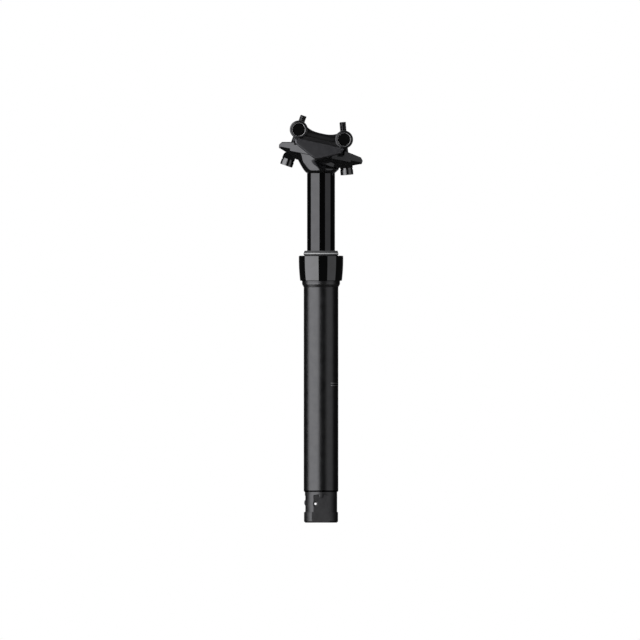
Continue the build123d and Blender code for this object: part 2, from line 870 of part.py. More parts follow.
# Upper clamp: two saddles between the transverse barrel-nut tubes
with BuildPart() as upper_clamp:
    beam_low_z = split_z + split_gap / 2
    beam_half_w = clamp_w / 2 - boss_edge - beam_inset
    with BuildSketch(clamp_side):
        with BuildLine():
            Spline(
                (-bridge_end_x, bridge_end_z),
                (-bridge_rise_x, bridge_rise_z),
                (0, bridge_top_z),
                (bridge_rise_x, bridge_rise_z),
                (bridge_end_x, bridge_end_z),
            )
            Polyline(
                (bridge_end_x, bridge_end_z),
                (nut_spacing / 2, 0),
                (nut_spacing / 2, beam_low_z),
                (-nut_spacing / 2, beam_low_z),
                (-nut_spacing / 2, 0),
                (-bridge_end_x, bridge_end_z),
            )
        make_face()
    extrude(amount=beam_half_w, both=True)
    with BuildSketch(clamp_side):
        Rectangle(2 * beam_half_x, 4 * boss_r)
    extrude(amount=saddle_inner_y, both=True, mode=Mode.SUBTRACT)
    hollow_z = beam_low_z + band_h + (hollow_r**2 - hollow_depth**2 / 4) ** 0.5
    with BuildSketch(clamp_end):
        with Locations(*[(side * (beam_half_w + hollow_offset), hollow_z) for side in (-1, 1)]):
            Circle(hollow_r)
    extrude(amount=bridge_end_x, both=True, mode=Mode.SUBTRACT)
    with BuildSketch(clamp_side):
        with Locations((-nut_spacing / 2, 0), (nut_spacing / 2, 0)):
            Circle(boss_r)
    extrude(amount=clamp_w / 2, both=True)
    with BuildSketch(clamp_side):
        with Locations((-nut_spacing / 2, 0), (nut_spacing / 2, 0)):
            Circle(boss_bore_r)
    extrude(amount=clamp_w / 2, both=True, mode=Mode.SUBTRACT)
    tube_ends = upper_clamp.edges().filter_by(GeomType.CIRCLE).group_by(Axis.Y)
    fillet((tube_ends[0] + tube_ends[-1]).filter_by(lambda rim: rim.radius > boss_bore_r), boss_edge)
    for bolt_frame, reach in clamp_bolts:
        with BuildSketch(bolt_frame):
            SlotOverall(bolt_slot_l, bolt_slot_w)
        extrude(amount=boss_r + overrun, both=True, mode=Mode.SUBTRACT)
    with BuildSketch(clamp_end):
        with Locations((-rail_y, rail_z), (rail_y, rail_z)):
            Circle(rail_r)
    extrude(amount=2 * cradle_half_x, both=True, mode=Mode.SUBTRACT)
export(upper_clamp, "upper_clamp")

# Lower cradle: two wedge-shaped wings under the rails, joined by a block with a cylindrical foot
with BuildPart() as lower_cradle:
    cradle_top_z = split_z - split_gap / 2
    wedge_tip_z = cradle_foot_z - cradle_foot_x * tan(radians(wedge_angle))
    with BuildSketch(clamp_side) as wedge:
        with BuildLine():
            Polyline(
                (0, cradle_top_z),
                (cradle_half_x, cradle_top_z),
                (cradle_foot_x, cradle_foot_z),
                (0, wedge_tip_z),
                (-cradle_foot_x, cradle_foot_z),
                (-cradle_half_x, cradle_top_z),
                close=True,
            )
        make_face()
        fillet(wedge.vertices().sort_by(Axis.Y)[0], wedge_tip_r)
    extrude(amount=cradle_w / 2, both=True)
    with BuildSketch(clamp_side):
        Rectangle(4 * cradle_half_x, 4 * cradle_half_x)
    extrude(amount=wing_inner_y, both=True, mode=Mode.SUBTRACT)
    with BuildSketch(clamp_side):
        Circle(seat_r)
        with Locations((0, cradle_top_z - seat_r / 2)):
            Rectangle(2 * block_half_x, seat_r, mode=Mode.INTERSECT)
        with Locations((0, (pad_top_z + cradle_top_z) / 2)):
            Rectangle(2 * pad_half_x, pad_top_z - cradle_top_z)
    extrude(amount=wing_inner_y, both=True)
    outer_faces = lower_cradle.faces().sort_by(Axis.Y)
    chamfer(outer_faces[0].edges() + outer_faces[-1].edges(), wing_edge)
    with BuildSketch(clamp_end):
        with Locations((-rail_y, rail_z), (rail_y, rail_z)):
            Circle(rail_r)
            with Locations((0, rail_r)):
                Rectangle(2 * rail_r, 2 * rail_r)
    extrude(amount=2 * cradle_half_x, both=True, mode=Mode.SUBTRACT)
    with BuildSketch(clamp_plan.offset(pad_top_z)):
        RectangleRounded(2 * pocket_half_x, 2 * pocket_half_y, pocket_corner_r)
    extrude(amount=-pocket_depth, mode=Mode.SUBTRACT)
export(lower_cradle, "lower_cradle")

# Barrel nuts, bolts and barrel washers
for name, (bolt_frame, reach) in zip(("rear", "front"), clamp_bolts):
    with BuildPart() as barrel_nut:
        with BuildSketch(barrel_side(bolt_frame)):
            Circle(nut_r)
        extrude(amount=nut_length / 2, both=True)
        chamfer(barrel_nut.edges().filter_by(GeomType.CIRCLE), nut_face_edge)
        with BuildSketch(bolt_frame):
            Circle(nut_bore_r)
        extrude(amount=nut_r + overrun, both=True, mode=Mode.SUBTRACT)
    export(barrel_nut, f"{name}_barrel_nut")

    washer_top = bolt_frame.offset(-reach)
    head_top = bolt_frame.offset(-reach - washer_slab_h)
    with BuildPart() as bolt:
        with BuildSketch(head_top):
            Circle(bolt_r)
        extrude(amount=bolt_length)
        chamfer(bolt.faces().sort_by(Axis(bolt_frame.origin, bolt_frame.z_dir))[-1].edges(), bolt_tip_edge)
        with BuildSketch(head_top):
            Circle(bolt_head_r)
        extrude(amount=-bolt_head_h)
        chamfer(bolt.faces().sort_by(Axis(bolt_frame.origin, bolt_frame.z_dir))[0].edges(), bolt_head_edge)
        with BuildSketch(head_top.offset(-bolt_head_h)):
            RegularPolygon(bolt_hex / 2, 6, major_radius=False)
        extrude(amount=bolt_hex_depth, mode=Mode.SUBTRACT)
    export(bolt, f"{name}_bolt")

    with BuildPart() as washer:
        with BuildSketch(barrel_side(washer_top)):
            Circle(washer_r)
            with Locations((0, -washer_r)):
                Rectangle(2 * washer_r, 2 * washer_r, mode=Mode.SUBTRACT)
            with Locations((0, -washer_slab_h / 2)):
                Rectangle(2 * washer_r, washer_slab_h)
        extrude(amount=washer_w / 2, both=True)
        with BuildSketch(head_top):
            Circle(washer_hole_r)
        extrude(amount=washer_slab_h + washer_r, mode=Mode.SUBTRACT)
    export(washer, f"{name}_washer")
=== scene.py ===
import bmesh
import bpy
import json
import math
from mathutils import Matrix, Vector


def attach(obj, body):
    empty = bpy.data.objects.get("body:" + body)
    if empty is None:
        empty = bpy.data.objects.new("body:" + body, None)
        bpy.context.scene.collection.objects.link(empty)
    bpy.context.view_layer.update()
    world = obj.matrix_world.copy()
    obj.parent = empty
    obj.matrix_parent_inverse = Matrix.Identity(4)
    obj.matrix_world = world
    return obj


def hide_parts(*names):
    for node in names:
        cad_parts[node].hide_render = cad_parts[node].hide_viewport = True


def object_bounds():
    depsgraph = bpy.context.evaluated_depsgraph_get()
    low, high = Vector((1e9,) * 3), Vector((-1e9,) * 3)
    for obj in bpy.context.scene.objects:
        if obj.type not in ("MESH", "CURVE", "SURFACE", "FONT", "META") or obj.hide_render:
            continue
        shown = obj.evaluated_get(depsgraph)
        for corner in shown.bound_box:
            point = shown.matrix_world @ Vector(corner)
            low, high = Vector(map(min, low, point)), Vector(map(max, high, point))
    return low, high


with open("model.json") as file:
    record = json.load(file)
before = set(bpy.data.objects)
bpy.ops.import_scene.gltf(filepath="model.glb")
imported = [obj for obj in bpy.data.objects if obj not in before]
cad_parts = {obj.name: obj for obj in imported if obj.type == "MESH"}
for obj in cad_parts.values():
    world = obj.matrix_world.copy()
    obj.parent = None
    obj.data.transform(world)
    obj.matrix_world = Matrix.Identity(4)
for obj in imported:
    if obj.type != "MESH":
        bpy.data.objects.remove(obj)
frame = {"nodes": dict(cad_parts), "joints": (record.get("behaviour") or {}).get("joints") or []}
cadLow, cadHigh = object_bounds()
nodes = frame["nodes"]
joints = {joint["name"]: joint for joint in frame["joints"]}
mm = 0.001
print("frame loaded:", len(nodes), "nodes")


# sRGB hex to linear RGBA
def toLinear(hexCode):
    channels = [int(hexCode[i:i + 2], 16) / 255 for i in (1, 3, 5)]
    return [c / 12.92 if c <= 0.04045 else ((c + 0.055) / 1.055) ** 2.4 for c in channels] + [1]


def addNode(tree, kind, inputs=None, **settings):
    node = tree.nodes.new(kind)
    for name, value in settings.items():
        setattr(node, name, value)
    for key, value in (inputs or {}).items():
        if isinstance(value, bpy.types.NodeSocket):
            tree.links.new(value, node.inputs[key])
        else:
            node.inputs[key].default_value = value
    return node


def newMaterial(name):
    material = bpy.data.materials.new(name)
    material.use_nodes = True
    tree = material.node_tree
    tree.nodes.clear()
    place = addNode(tree, "ShaderNodeTexCoord").outputs["Object"]
    return material, tree, place


def closeMaterial(tree, inputs):
    shader = addNode(tree, "ShaderNodeBsdfPrincipled", inputs)
    addNode(tree, "ShaderNodeOutputMaterial", {"Surface": shader.outputs["BSDF"]})


noise = {"roughness": 0.6, "low": 0.3, "high": 0.7}  # nearly all of its values lie between low and high


# noise with cells of the given size; a stretch below 1 draws them out along that axis
def grain(tree, place, size, detail=2.0, stretch=(1, 1, 1)):
    mapped = addNode(tree, "ShaderNodeMapping", {"Vector": place, "Scale": stretch})
    return addNode(tree, "ShaderNodeTexNoise", {
        "Vector": mapped.outputs["Vector"], "Scale": 1 / size, "Detail": detail,
        "Roughness": noise["roughness"],
    }).outputs["Fac"]


# noise value to a number between low and high
def spread(tree, fac, low, high):
    return addNode(tree, "ShaderNodeMapRange", {
        "Value": fac, "From Min": noise["low"], "From Max": noise["high"], "To Min": low, "To Max": high,
    }).outputs["Result"]


def blend(tree, fac, first, second):
    inputs = {"Factor": fac, "A": first, "B": second}
    return addNode(tree, "ShaderNodeMix", inputs, data_type="RGBA").outputs["Result"]


# noise value to a colour between two sRGB hex values
def tint(tree, fac, dark, light):
    return blend(tree, spread(tree, fac, 0, 1), toLinear(dark), toLinear(light))


def compute(tree, operation, *values):
    return addNode(tree, "ShaderNodeMath", dict(enumerate(values)), operation=operation).outputs["Value"]


bevelSamples = 8


# surface relief; with an edge radius, sharp edges look broken by that much
def bump(tree, height, depth, strength=1.0, edge=0.0):
    relief = {"Height": height, "Distance": depth, "Strength": strength}
    if edge:
        bevel = addNode(tree, "ShaderNodeBevel", {"Radius": edge}, samples=bevelSamples)
        relief["Normal"] = bevel.outputs["Normal"]
    return addNode(tree, "ShaderNodeBump", relief).outputs["Normal"]


lathe = {"detail": 1.0, "stretch": (0.02, 0.02, 1)}  # noise drawn out into rings round the post's axis
tubeFinish = {
    "cloud": 6 * mm, "ringPitch": 0.35 * mm, "ringDepth": 0.004 * mm,
    # insertion lines (print), painted shade on the end's chamfer standing in for the shade where the tube meets
    # the housing, and a painted highlight on the flange's taper: middle height, half height, hindmost X, tone
    "bands": [
        (-75.3 * mm, 0.28 * mm, 7.7 * mm, "#c9c9cb"),
        (-77.1 * mm, 0.28 * mm, 7.7 * mm, "#c9c9cb"),
        (-160.0 * mm, 0.5 * mm, -20 * mm, "#0b0b0c"),
        (1.35 * mm, 1.3 * mm, -20 * mm, "#858587"),
    ],
}


# printed insertion lines, plus a painted shade line at the tube's lower end and a painted highlight on the
# flange's taper
def printAndPaintedLightBands(tree, place, colour):
    axes = addNode(tree, "ShaderNodeSeparateXYZ", {"Vector": place}).outputs
    for height, half, hindmost, tone in tubeFinish["bands"]:
        level = compute(tree, "COMPARE", axes["Z"], height, half)
        ahead = compute(tree, "GREATER_THAN", axes["X"], hindmost)
        colour = blend(tree, compute(tree, "MULTIPLY", level, ahead), colour, toLinear(tone))
    return colour


# black anodised over a fine-turned tube: a soft broad highlight with faint rings round the tube
def satinTubeAnodise(name, dark, light, roughness, edge=0.0, printAndPaintedLight=False):
    material, tree, place = newMaterial(name)
    cloud = grain(tree, place, tubeFinish["cloud"])
    rings = grain(tree, place, tubeFinish["ringPitch"], **lathe)
    colour = tint(tree, cloud, dark, light)
    closeMaterial(tree, {
        "Base Color": printAndPaintedLightBands(tree, place, colour) if printAndPaintedLight else colour,
        "Metallic": 1.0,
        "Roughness": spread(tree, cloud, *roughness),
        "Normal": bump(tree, rings, tubeFinish["ringDepth"], edge=edge),
    })
    return material


polishFinish = {"cloud": 9 * mm, "ringPitch": 0.25 * mm, "ringDepth": 0.0008 * mm}


# black anodised over a ground and polished tube: mirror-like, with sharp edges to what it reflects
def polishedAnodise(name, dark, light, roughness):
    material, tree, place = newMaterial(name)
    cloud = grain(tree, place, polishFinish["cloud"])
    rings = grain(tree, place, polishFinish["ringPitch"], **lathe)
    closeMaterial(tree, {
        "Base Color": tint(tree, cloud, dark, light),
        "Metallic": 1.0,
        "Roughness": spread(tree, rings, *roughness),
        "Normal": bump(tree, rings, polishFinish["ringDepth"]),
    })
    return material


# bead marks are about 0.1 mm; the grit is drawn twice as coarse
blastFinish = {"cloud": 5 * mm, "grit": 0.22 * mm, "gritDetail": 3.0, "gritDepth": 0.003 * mm,
               "gritStrength": 0.5, "metallic": 0.97}
# size and tone of the painted highlight round each bore mouth
boreHighlightSizes = {"outside": 5.5 * mm, "endY": 26.9 * mm, "tone": "#b2b2b4"}


# painted highlight: a bright ring round the mouth of each nut's bore, standing in for the light its edge
# catches
def paintedBoreHighlights(tree, place, colour):
    axes = addNode(tree, "ShaderNodeSeparateXYZ", {"Vector": place}).outputs
    flat = addNode(tree, "ShaderNodeCombineXYZ", {"X": axes["X"], "Z": axes["Z"]}).outputs["Vector"]
    atEnd = compute(tree, "GREATER_THAN", compute(tree, "ABSOLUTE", axes["Y"]), boreHighlightSizes["endY"])
    for end in ("rear", "front"):
        x, _, z = joints[f"{end}_nut_turn"]["pos_m"]
        away = addNode(tree, "ShaderNodeVectorMath", {0: flat, 1: (x, 0, z)}, operation="DISTANCE")
        near = compute(tree, "LESS_THAN", away.outputs["Value"], boreHighlightSizes["outside"])
        colour = blend(tree, compute(tree, "MULTIPLY", near, atEnd), colour, toLinear(boreHighlightSizes["tone"]))
    return colour


# forged, bead-blasted and black anodised: an even satin with a fine grit
def blastedAnodise(name, dark, light, roughness, edge=0.0, withBoreHighlights=False):
    material, tree, place = newMaterial(name)
    cloud = grain(tree, place, blastFinish["cloud"])
    grit = grain(tree, place, blastFinish["grit"], blastFinish["gritDetail"])
    colour = tint(tree, cloud, dark, light)
    closeMaterial(tree, {
        "Base Color": paintedBoreHighlights(tree, place, colour) if withBoreHighlights else colour,
        "Metallic": blastFinish["metallic"],
        "Roughness": spread(tree, grit, *roughness),
        "Normal": bump(tree, grit, blastFinish["gritDepth"], blastFinish["gritStrength"], edge),
    })
    return material


rubberFinish = {"bloom": 2.5 * mm, "pores": 0.15 * mm, "poreDepth": 0.006 * mm, "poreStrength": 0.5,
                "roughness": (0.55, 0.7), "specular": 0.45}


# moulded rubber or elastomer: dull, with a faint bloom
def mouldedRubber(name, dark, light):
    material, tree, place = newMaterial(name)
    bloom = grain(tree, place, rubberFinish["bloom"])
    pores = grain(tree, place, rubberFinish["pores"])
    closeMaterial(tree, {
        "Base Color": tint(tree, bloom, dark, light),
        "Roughness": spread(tree, pores, *rubberFinish["roughness"]),
        "Specular IOR Level": rubberFinish["specular"],
        "Normal": bump(tree, pores, rubberFinish["poreDepth"], rubberFinish["poreStrength"]),
    })
    return material


plasticFinish = {"cloud": 3 * mm, "skin": 0.3 * mm, "skinDepth": 0.003 * mm, "skinStrength": 0.5}


# moulded acetal: smooth and slightly waxy
def mouldedPlastic(name, dark, light, roughness):
    material, tree, place = newMaterial(name)
    cloud = grain(tree, place, plasticFinish["cloud"])
    skin = grain(tree, place, plasticFinish["skin"])
    closeMaterial(tree, {
        "Base Color": tint(tree, cloud, dark, light),
        "Roughness": spread(tree, skin, *roughness),
        "Normal": bump(tree, skin, plasticFinish["skinDepth"], plasticFinish["skinStrength"]),
    })
    return material


turnedRings = {"detail": 2.0, "stretch": (0.05, 0.05, 1)}
turnedFinish = {"cloud": 4 * mm, "ringPitch": 0.12 * mm, "ringDepth": 0.002 * mm, "ringStrength": 0.6}


# bare or plated metal off a lathe: fine tool rings that stretch the highlight
def turnedMetal(name, dark, light, roughness):
    material, tree, place = newMaterial(name)
    cloud = grain(tree, place, turnedFinish["cloud"])
    rings = grain(tree, place, turnedFinish["ringPitch"], **turnedRings)
    closeMaterial(tree, {
        "Base Color": tint(tree, cloud, dark, light),
        "Metallic": 1.0,
        "Roughness": spread(tree, rings, *roughness),
        "Normal": bump(tree, rings, turnedFinish["ringDepth"], turnedFinish["ringStrength"]),
    })
    return material


finishes = {
    # the outer tube: printed insertion lines with a painted shade line and a painted highlight
    "printedAndPaintedLightTube": satinTubeAnodise("satin black anodised tube with insertion mark", "#5c5c5e", "#646466",
                                   (0.30, 0.35), printAndPaintedLight=True),
    "satinTube": satinTubeAnodise("dull black anodised aluminium", "#646466", "#6c6c6e",
                                  (0.42, 0.48), 0.35 * mm),
    "polishedTube": polishedAnodise("polished black anodised aluminium", "#525254", "#575759", (0.05, 0.09)),
    "polishedCollar": polishedAnodise("fine polished black anodised collar", "#646465", "#68686a",
                                      (0.03, 0.06)),
    "forging": blastedAnodise("fine blasted black anodised forging", "#59595b", "#5e5e60", (0.11, 0.16)),
    "satinForging": blastedAnodise("blasted satin black anodised aluminium", "#6c6c70", "#747478",
                                   (0.30, 0.36), 0.5 * mm),
    # the clamp's material carries the painted highlights round the nut bores
    "clampForging": blastedAnodise("deep black anodised clamp forging", "#505052", "#565658",
                                   (0.26, 0.32), 0.3 * mm, withBoreHighlights=True),
    "wiper": mouldedRubber("moulded wiper rubber", "#404041", "#48484a"),
    "seal": mouldedRubber("nitrile rubber", "#1a1a1a", "#222222"),
    "paleRing": mouldedPlastic("light grey moulded acetal", "#b9babb", "#c4c5c6", (0.4, 0.5)),
    "bearing": mouldedPlastic("dark bearing plastic", "#2b2b2d", "#343436", (0.35, 0.45)),
    "blackSteel": turnedMetal("black nickel steel", "#747476", "#7c7c7e", (0.08, 0.13)),
    "oxideSteel": turnedMetal("black oxide thread", "#4c4c4e", "#545456", (0.20, 0.28)),
    "steel": turnedMetal("turned stainless steel", "#a5a6a8", "#b4b5b7", (0.22, 0.34)),
    "aluminium": turnedMetal("turned aluminium", "#c2c3c6", "#cfd0d3", (0.25, 0.38)),
    "chrome": turnedMetal("hard chromed rod", "#c9cacc", "#d2d3d5", (0.06, 0.10)),
    "brass": turnedMetal("milled brass", "#b0904c", "#bd9d58", (0.25, 0.36)),
}
nodesOfFinish = {
    "printedAndPaintedLightTube": ["outer_tube"],
    "satinTube": ["actuator_housing"],
    "polishedTube": ["stanchion"],
    "polishedCollar": ["seal_collar"],
    "forging": ["post_head"],
    "satinForging": ["lower_cradle", "actuator_lever"],
    "clampForging": ["upper_clamp"],
    "wiper": ["wiper_seal"],
    "seal": ["cap_seal", "rod_seal", "piston_seal", "top_out_bumper"],
    "paleRing": ["wiper_ring"],
    "bearing": ["upper_bushing", "lower_bushing"],
    "blackSteel": ["lever_pivot_pin", "cable_anchor", "anchor_screw", "rear_barrel_nut", "front_barrel_nut",
                   "rear_bolt", "front_bolt", "rear_washer", "front_washer"],
    "steel": ["bushing_clip", "cartridge_clip", "rod_nut", "push_pin", "return_spring"],
    "aluminium": ["cartridge_tube", "cartridge_cap", "cartridge_gland", "floating_piston", "piston",
                  "cable_stop"],
    "chrome": ["cartridge_rod"],
    "brass": ["guide_keys"],
}
for finishName, nodeNames in nodesOfFinish.items():
    for nodeName in nodeNames:
        nodes[nodeName].data.materials.clear()
        nodes[nodeName].data.materials.append(finishes[finishName])
print("finishes set:", len(finishes))


# closed ring solid through (height, radius) pairs, where a radius may be a function of the angle
def ringSolid(rings, segments):
    solid = bmesh.new()
    loops = []
    for height, radius in rings:
        loop = []
        for i in range(segments):
            angle = 2 * math.pi * i / segments
            r = radius(angle) if callable(radius) else radius
            loop.append(solid.verts.new((r * math.cos(angle), r * math.sin(angle), height)))
        loops.append(loop)
    for lower, upper in zip(loops, loops[1:]):
        for i in range(segments):
            j = (i + 1) % segments
            solid.faces.new((lower[i], lower[j], upper[j], upper[i]))
    solid.faces.new(list(reversed(loops[0])))
    solid.faces.new(loops[-1])
    bmesh.ops.recalc_face_normals(solid, faces=solid.faces)
    return solid


# closed piece from an outline of (x, z) points, between two distances along Y
def prism(outline, low, high):
    solid = bmesh.new()
    near = [solid.verts.new((x, low, z)) for x, z in outline]
    far = [solid.verts.new((x, high, z)) for x, z in outline]
    solid.faces.new(near)
    solid.faces.new(list(reversed(far)))
    for i in range(len(outline)):
        j = (i + 1) % len(outline)
        solid.faces.new((near[i], far[i], far[j], near[j]))
    bmesh.ops.recalc_face_normals(solid, faces=solid.faces)
    return solid


def meshObject(name, solid, *materials):
    mesh = bpy.data.meshes.new(name)
    solid.to_mesh(mesh)
    solid.free()
    for material in materials:
        mesh.materials.append(material)
    piece = bpy.data.objects.new(name, mesh)
    bpy.context.scene.collection.objects.link(piece)
    return piece


sharpAngle = 35  # degrees


def smooth(mesh):
    mesh.polygons.foreach_set("use_smooth", [True] * len(mesh.polygons))
    mesh.set_sharp_from_angle(angle=math.radians(sharpAngle))


def plainMesh(piece):
    return bpy.data.meshes.new_from_object(piece.evaluated_get(bpy.context.evaluated_depsgraph_get()))


def jointPlace(name):
    return Vector(joints[name]["pos_m"])


# Clamp bolts with knurled heads and rolled threads
boltSizes = {
    "headRadius": 5.05 * mm, "headHeight": 5.6 * mm, "headEdge": 0.45 * mm, "headCollar": 1.3 * mm,
    "groove": 0.45 * mm, "knurls": 54, "knurlDepth": 0.035 * mm, "easing": 0.3,
    "socketWidth": 4.0 * mm, "socketDepth": 3.0 * mm,
    "washerSlab": 1.25 * mm, "shankLength": 36.1 * mm, "plainNeck": 7.0 * mm, "tipEdge": 0.3 * mm,
    "threadRadius": 2.6 * mm, "ridge": 0.3 * mm, "pitch": 0.8 * mm, "stepsPerTurn": 24, "ridgeSides": 8,
    "segments": 216,
}


def hexagon(acrossFlats):
    def radius(angle):
        offset = (angle % (math.pi / 3)) - math.pi / 6
        return acrossFlats / 2 / math.cos(offset)
    return radius


def threadMesh(length, material):
    tree = bpy.data.node_groups.new("rolled thread", "GeometryNodeTree")
    wanted = {
        "Turns": length / boltSizes["pitch"],
        "Length": length,
        "Helix Radius": boltSizes["threadRadius"] - boltSizes["ridge"],
        "Ridge": boltSizes["ridge"],
    }
    sockets = {name: tree.interface.new_socket(name, in_out="INPUT", socket_type="NodeSocketFloat")
               for name in wanted}
    tree.interface.new_socket("Geometry", in_out="OUTPUT", socket_type="NodeSocketGeometry")
    given = addNode(tree, "NodeGroupInput").outputs
    helix = addNode(tree, "GeometryNodeCurveSpiral", {
        "Resolution": boltSizes["stepsPerTurn"], "Rotations": given["Turns"], "Height": given["Length"],
        "Start Radius": given["Helix Radius"], "End Radius": given["Helix Radius"],
    })
    profile = addNode(tree, "GeometryNodeCurvePrimitiveCircle", {
        "Resolution": boltSizes["ridgeSides"], "Radius": given["Ridge"],
    })
    ridge = addNode(tree, "GeometryNodeCurveToMesh", {
        "Curve": helix.outputs["Curve"], "Profile Curve": profile.outputs["Curve"], "Fill Caps": True,
    })
    real = addNode(tree, "GeometryNodeRealizeInstances", {"Geometry": ridge.outputs["Mesh"]})
    coated = addNode(tree, "GeometryNodeSetMaterial", {
        "Geometry": real.outputs["Geometry"], "Material": material,
    })
    addNode(tree, "NodeGroupOutput", {"Geometry": coated.outputs["Geometry"]})
    carrier = bpy.data.objects.new("thread carrier", bpy.data.meshes.new("thread carrier"))
    bpy.context.scene.collection.objects.link(carrier)
    modifier = carrier.modifiers.new("rolled thread", "NODES")
    modifier.node_group = tree
    for name, value in wanted.items():
        modifier[sockets[name].identifier] = value
    mesh = plainMesh(carrier)
    bpy.data.objects.remove(carrier)
    return mesh


def makeBolt(end):
    sizes = boltSizes
    pivot = jointPlace(f"{end}_bolt_swing")
    axis = (jointPlace(f"{end}_nut_turn") - pivot).normalized()
    seat = -sizes["washerSlab"]
    bottom = seat - sizes["headHeight"]
    top = seat + sizes["shankLength"]
    neckTop = seat + sizes["plainNeck"]
    edge, ease = sizes["headEdge"], sizes["easing"] * sizes["headEdge"]
    core = sizes["threadRadius"] - sizes["ridge"]
    socket = hexagon(sizes["socketWidth"])
    socketMouth = sizes["socketWidth"] / 2 / math.cos(math.pi / 6) + ease
    collarLow = seat - sizes["headCollar"]
    grooveRadius = sizes["headRadius"] - sizes["groove"]
    collarRadius = sizes["headRadius"] - sizes["easing"] * sizes["groove"]

    def knurl(angle):
        return sizes["headRadius"] - sizes["knurlDepth"] * (1 - math.cos(sizes["knurls"] * angle)) / 2

    solid = ringSolid([
        (bottom + sizes["socketDepth"], socket),
        (bottom + edge / 2, socket),
        (bottom, socketMouth),
        (bottom, sizes["headRadius"] - edge),
        (bottom + ease, sizes["headRadius"] - ease),
        (bottom + edge, sizes["headRadius"] - sizes["knurlDepth"] / 2),
        (bottom + edge + sizes["knurlDepth"], knurl),
        (collarLow - sizes["knurlDepth"], knurl),
        (collarLow, grooveRadius),
        (collarLow + sizes["groove"], grooveRadius),
        (collarLow + sizes["groove"], collarRadius),
        (seat - ease, collarRadius),
        (seat, collarRadius - ease),
        (seat, sizes["threadRadius"]),
        (neckTop, sizes["threadRadius"]),
        (neckTop + edge, core),
        (top - sizes["tipEdge"], core),
        (top, core - sizes["tipEdge"]),
    ], sizes["segments"])
    thread = threadMesh(top - sizes["tipEdge"] - neckTop, finishes["oxideSteel"])
    thread.transform(Matrix.Translation((0, 0, neckTop)))
    solid.from_mesh(thread)
    bpy.data.meshes.remove(thread)
    for face in solid.faces:
        face.material_index = int(face.calc_center_median().z > seat)  # 0 is the head, 1 the shank
    turn = Vector((0, 0, 1)).rotation_difference(axis).to_matrix().to_4x4()
    solid.transform(Matrix.Translation(pivot) @ turn)
    bolt = meshObject(f"{end}BoltThreaded", solid, finishes["blackSteel"], finishes["oxideSteel"])
    smooth(bolt.data)
    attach(bolt, f"{end}_bolt_set")
    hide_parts(f"{end}_bolt")


for end in ("rear", "front"):
    makeBolt(end)
print("bolts threaded")


# Barrel nuts, a close running fit in their tubes
nutSizes = {
    "radius": 4.97 * mm, "length": 16 * mm, "edge": 0.5 * mm, "holeRadius": 2.8 * mm,
    "slotWidth": 1.6 * mm, "slotDepth": 1.2 * mm, "segments": 128, "holeSegments": 64,
}


def makeNut(end):
    sizes = nutSizes
    centre = jointPlace(f"{end}_nut_turn")
    half, edge = sizes["length"] / 2, sizes["edge"]
    body = ringSolid([
        (-half, sizes["radius"] - edge),
        (-half + edge, sizes["radius"]),
        (half - edge, sizes["radius"]),
        (half, sizes["radius"] - edge),
    ], sizes["segments"])
    body.transform(Matrix.Translation(centre) @ Matrix.Rotation(math.radians(90), 4, "X"))
    nut = meshObject(f"{end}BarrelNut", body, finishes["blackSteel"])
    cut = ringSolid([(-sizes["length"], sizes["holeRadius"]), (sizes["length"], sizes["holeRadius"])],
                    sizes["holeSegments"])
    cut.transform((centre - jointPlace(f"{end}_bolt_swing")).to_track_quat("Z", "Y").to_matrix().to_4x4())
    for side in (-1, 1):
        slot = bmesh.ops.create_cube(cut, size=1)["verts"]
        bmesh.ops.scale(cut, verts=slot, vec=(4 * sizes["radius"], 2 * sizes["slotDepth"], sizes["slotWidth"]))
        bmesh.ops.translate(cut, verts=slot, vec=(0, side * half, 0))
    cut.transform(Matrix.Translation(centre))
    cutter = meshObject(f"{end}BarrelNutCutter", cut, finishes["blackSteel"])
    modifier = nut.modifiers.new("bolt hole and slots", "BOOLEAN")
    modifier.object = cutter
    modifier.operation = "DIFFERENCE"
    modifier.solver = "EXACT"
    plain = plainMesh(nut)
    nut.modifiers.clear()
    nut.data = plain
    bpy.data.objects.remove(cutter)
    smooth(plain)
    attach(nut, f"{end}_nut")
    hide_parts(f"{end}_barrel_nut")


for end in ("rear", "front"):
    makeNut(end)
print("barrel nuts fitted")


# Bead that closes the split between cradle and upper clamp; its places are in the clamp's tilted frame
beadSizes = {
    "reach": 19.8 * mm, "foot": -8.1 * mm, "top": -6.8 * mm, "inside": 25.9 * mm, "outside": 26.97 * mm,
    "tubeRadius": 7.1 * mm, "air": 0.02 * mm, "steps": 40,
}


def makeBead(side, name):
    sizes = beadSizes
    rear, front = jointPlace("rear_nut_turn"), jointPlace("front_nut_turn")
    middle, along = (rear + front) / 2, (front - rear).normalized()
    up = along.cross(Vector((0, 1, 0)))
    tubeX = (front - rear).length / 2
    crest = []
    for i in range(sizes["steps"] + 1):
        x = sizes["reach"] * (2 * i / sizes["steps"] - 1)
        offset = abs(abs(x) - tubeX)
        underTube = -math.sqrt(max(sizes["tubeRadius"] ** 2 - offset ** 2, 0)) - sizes["air"]
        crest.append((x, min(sizes["top"], underTube)))
    outline = [(-sizes["reach"], sizes["foot"])] + crest + [(sizes["reach"], sizes["foot"])]
    placed = [middle + along * x + up * z for x, z in outline]
    low, high = sorted((side * sizes["inside"], side * sizes["outside"]))
    bead = meshObject(name, prism([(p.x, p.z) for p in placed], low, high), finishes["satinForging"])
    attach(bead, "saddle_clamp")


# Webs of the head beside the front bolt
webSizes = {
    "outline": [(13.0, 102.6), (17.2, 102.4), (17.2, 105.7), (16.6, 106.0), (14.2, 105.2), (13.0, 104.1)],  # mm
    "inside": 6.0 * mm, "outside": 12.4 * mm,
}


def makeWeb(side, name):
    low, high = sorted((side * webSizes["inside"], side * webSizes["outside"]))
    outline = [(x * mm, z * mm) for x, z in webSizes["outline"]]
    web = meshObject(name, prism(outline, low, high), finishes["forging"])
    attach(web, "upper")


for side, letter in ((-1, "L"), (1, "R")):
    makeBead(side, f"cradleBead{letter}")
    makeWeb(side, f"earWeb{letter}")
print("clamp's small forms made")


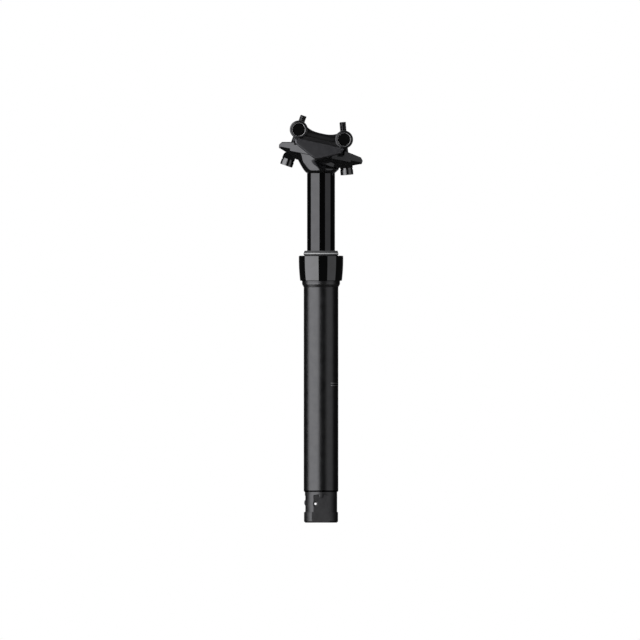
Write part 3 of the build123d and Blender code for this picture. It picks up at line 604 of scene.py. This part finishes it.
# Floor, lamps, world and camera
studio = {  # lengths in metres
    "floorHalf": 3.0, "floorDrop": 0.5 * mm, "floorDark": "#f0f0f0", "floorLight": "#f3f3f3", "paper": 4 * mm,
    "distance": 1.3, "topSize": 1.4, "topRadiance": 0.12, "topHeight": 1.1,
    "worldGlossy": 0.02, "worldDiffuse": 0.6,
    # azimuths in degrees round the post, where 0 is the camera's side; then height, radiance and lift
    "softboxes": {
        "key softbox": (-92, -13, 1.9, 1.6, 0),
        "fill softbox": (34, 84, 1.9, 0.34, 0),
        "back softbox": (162, 198, 1.6, 0.7, 0.2),
    },
    "pictureWidth": 502.4 * mm,  # 640 px at 0.785 mm a pixel
    "camera": (-0.8 * mm, -1.5, -25.7 * mm),
}


def makeFloor():
    mesh = bpy.data.meshes.new("floor")
    half, z = studio["floorHalf"], cadLow.z - studio["floorDrop"]
    corners = [(-half, -half, z), (half, -half, z), (half, half, z), (-half, half, z)]
    mesh.from_pydata(corners, [], [(0, 1, 2, 3)])
    floor = bpy.data.objects.new("floor", mesh)
    bpy.context.scene.collection.objects.link(floor)
    material, tree, place = newMaterial("matt white studio floor")
    paper = grain(tree, place, studio["paper"])
    closeMaterial(tree, {
        "Base Color": tint(tree, paper, studio["floorDark"], studio["floorLight"]),
        "Roughness": 0.8,
    })
    mesh.materials.append(material)
    floor.visible_glossy = False  # the polished tube mirrors the softboxes down to its foot


def areaLamp(name, width, height, radiance, place, away):
    lamp = bpy.data.lights.new(name, "AREA")
    lamp.shape = "RECTANGLE"
    lamp.size, lamp.size_y = width, height
    lamp.energy = radiance * math.pi * width * height
    box = bpy.data.objects.new(name, lamp)
    box.location = place
    box.rotation_mode = "QUATERNION"
    box.rotation_quaternion = away.to_track_quat("Z", "Y")
    bpy.context.scene.collection.objects.link(box)


def makeLamps():
    for name, (fromAngle, toAngle, height, radiance, lift) in studio["softboxes"].items():
        first, last = (Vector((math.sin(a), -math.cos(a), 0)) * studio["distance"]
                       for a in (math.radians(fromAngle), math.radians(toAngle)))
        centre = (first + last) / 2
        areaLamp(name, (last - first).length, height, radiance, centre + Vector((0, 0, lift)), centre)
    overhead = Vector((0, 0, studio["topHeight"]))
    areaLamp("top softbox", studio["topSize"], studio["topSize"], studio["topRadiance"], overhead, overhead)


def makeWorld():
    world = bpy.data.worlds.new("white studio")
    bpy.context.scene.world = world
    world.use_nodes = True
    tree = world.node_tree
    tree.nodes.clear()
    path = addNode(tree, "ShaderNodeLightPath").outputs
    diffuse, glossy = ([studio[name]] * 3 + [1] for name in ("worldDiffuse", "worldGlossy"))
    dim = blend(tree, path["Is Glossy Ray"], diffuse, glossy)
    seen = blend(tree, path["Is Camera Ray"], dim, toLinear("#ffffff"))
    background = addNode(tree, "ShaderNodeBackground", {"Color": seen, "Strength": 1.0})
    addNode(tree, "ShaderNodeOutputWorld", {"Surface": background.outputs["Background"]})


def makeCamera():
    data = bpy.data.cameras.new("side view")
    data.type = "ORTHO"
    data.ortho_scale = studio["pictureWidth"]
    camera = bpy.data.objects.new("side view", data)
    camera.location = studio["camera"]
    camera.rotation_euler = (math.radians(90), 0, 0)
    bpy.context.scene.collection.objects.link(camera)
    bpy.context.scene.camera = camera


makeFloor()
makeLamps()
makeWorld()
makeCamera()
bpy.context.scene.view_settings.view_transform = "Standard"
print("studio ready")
